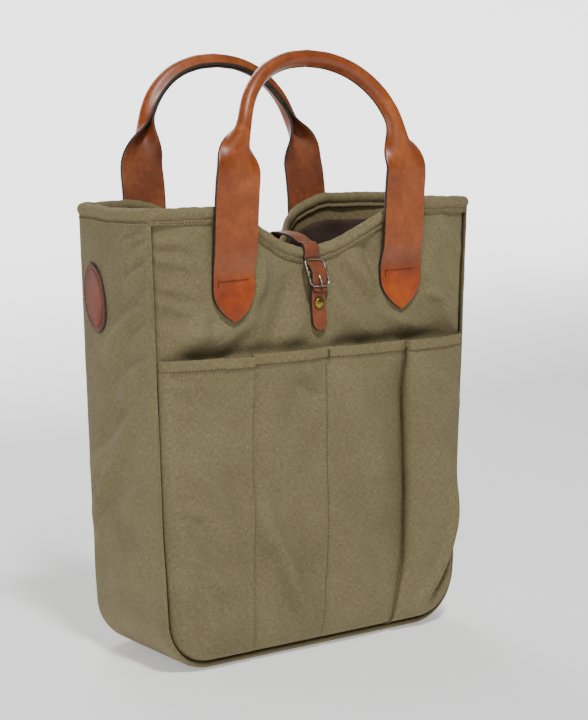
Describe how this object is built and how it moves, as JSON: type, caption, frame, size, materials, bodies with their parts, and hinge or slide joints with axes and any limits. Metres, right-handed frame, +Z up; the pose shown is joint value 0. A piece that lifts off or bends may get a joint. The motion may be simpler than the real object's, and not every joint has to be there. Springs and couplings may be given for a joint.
{
  "type": "garden tool bag",
  "caption": "Rectangular canvas garden tool bag with outside pockets, rolled leather handles and a buckled leather closure strap over a scooped rim.",
  "frame": {"origin": "on the ground, under the middle of the base", "axes": "+Z up, X along the wide front (+X to the right seen from the pocket side), -Y towards the pocket side"},
  "size_m": [0.3348, 0.1784, 0.5052],
  "materials": {
    "canvas": "waxed olive-khaki cotton canvas, fine heathered plain weave, matte",
    "canvas_trim": "waxed olive-khaki canvas binding tape and facing, matte, stitched",
    "lining": "dark brown cotton twill, matte",
    "base_board": "brown fibreboard stiffener",
    "leather": "tan vegetable-tanned leather, satin, dark dyed edges, stitched",
    "leather_patch": "tan leather patch, satin, dark edge",
    "cord": "undyed cotton cord",
    "nickel": "nickel-plated steel, lightly worn",
    "brass": "aged brass, softly polished"
  },
  "bodies": {
    "root": {"front_panel": "canvas", "back_panel": "canvas", "left_gusset": "canvas", "right_gusset": "canvas", "base_gusset": "canvas", "pocket_panel": "canvas", "pocket_left_edge": "canvas", "pocket_right_edge": "canvas", "pocket_bottom_edge": "canvas", "pocket_pleat_left": "canvas", "pocket_seam_center": "canvas", "pocket_pleat_right": "canvas", "front_facing": "canvas_trim", "back_facing": "canvas_trim", "left_facing": "canvas_trim", "right_facing": "canvas_trim", "front_rim_binding": "canvas_trim", "back_rim_binding": "canvas_trim", "left_rim_binding": "canvas_trim", "right_rim_binding": "canvas_trim", "pocket_hem": "canvas_trim", "front_lining": "lining", "back_lining": "lining", "left_lining": "lining", "right_lining": "lining", "base_lining": "lining", "base_board": "base_board", "front_left_tab": "leather", "front_right_tab": "leather", "back_left_tab": "leather", "back_right_tab": "leather", "closure_anchor": "leather", "leather_patch": "leather_patch", "snap_post": "brass"},
    "front_handle_straps": {"front_left_strap": "leather", "front_right_strap": "leather"},
    "front_handle_grip": {"front_grip": "leather", "front_grip_core": "cord"},
    "back_handle_straps": {"back_left_strap": "leather", "back_right_strap": "leather"},
    "back_handle_grip": {"back_grip": "leather", "back_grip_core": "cord"},
    "closure_strap": {"closure_strap": "leather"},
    "closure_end": {"closure_billet": "leather", "buckle_frame": "nickel", "snap_tab": "leather", "snap_cap": "brass", "snap_socket": "brass"},
    "buckle_prong": {"buckle_prong": "nickel"}
  },
  "joints": [
    {"name": "front_handle_fall", "type": "hinge", "parent": "root", "child": "front_handle_straps", "pos_m": [0, -0.0616, 0.3223], "axis": [1, 0, 0], "range_deg": [0, 160]},
    {"name": "front_handle_lean", "type": "hinge", "parent": "front_handle_straps", "child": "front_handle_grip", "pos_m": [0, -0.0619, 0.3838], "axis": [-1, 0, 0], "range_deg": [0, 20]},
    {"name": "back_handle_fall", "type": "hinge", "parent": "root", "child": "back_handle_straps", "pos_m": [0, 0.0772, 0.3223], "axis": [-1, 0, 0], "range_deg": [0, 160]},
    {"name": "back_handle_lean", "type": "hinge", "parent": "back_handle_straps", "child": "back_handle_grip", "pos_m": [0, 0.0779, 0.3838], "axis": [1, 0, 0], "range_deg": [0, 40]},
    {"name": "closure_lift", "type": "hinge", "parent": "root", "child": "closure_strap", "pos_m": [0, 0.0127, 0.3444], "axis": [-1, 0, 0], "range_deg": [0, 90]},
    {"name": "closure_end_lift", "type": "hinge", "parent": "closure_strap", "child": "closure_end", "pos_m": [0, -0.0372, 0.3479], "axis": [-1, 0, 0], "range_deg": [0, 75]},
    {"name": "buckle_prong_lift", "type": "hinge", "parent": "closure_end", "child": "buckle_prong", "pos_m": [0, -0.05446, 0.32275], "axis": [-1, 0, 0], "range_deg": [0, 60]}
  ]
}
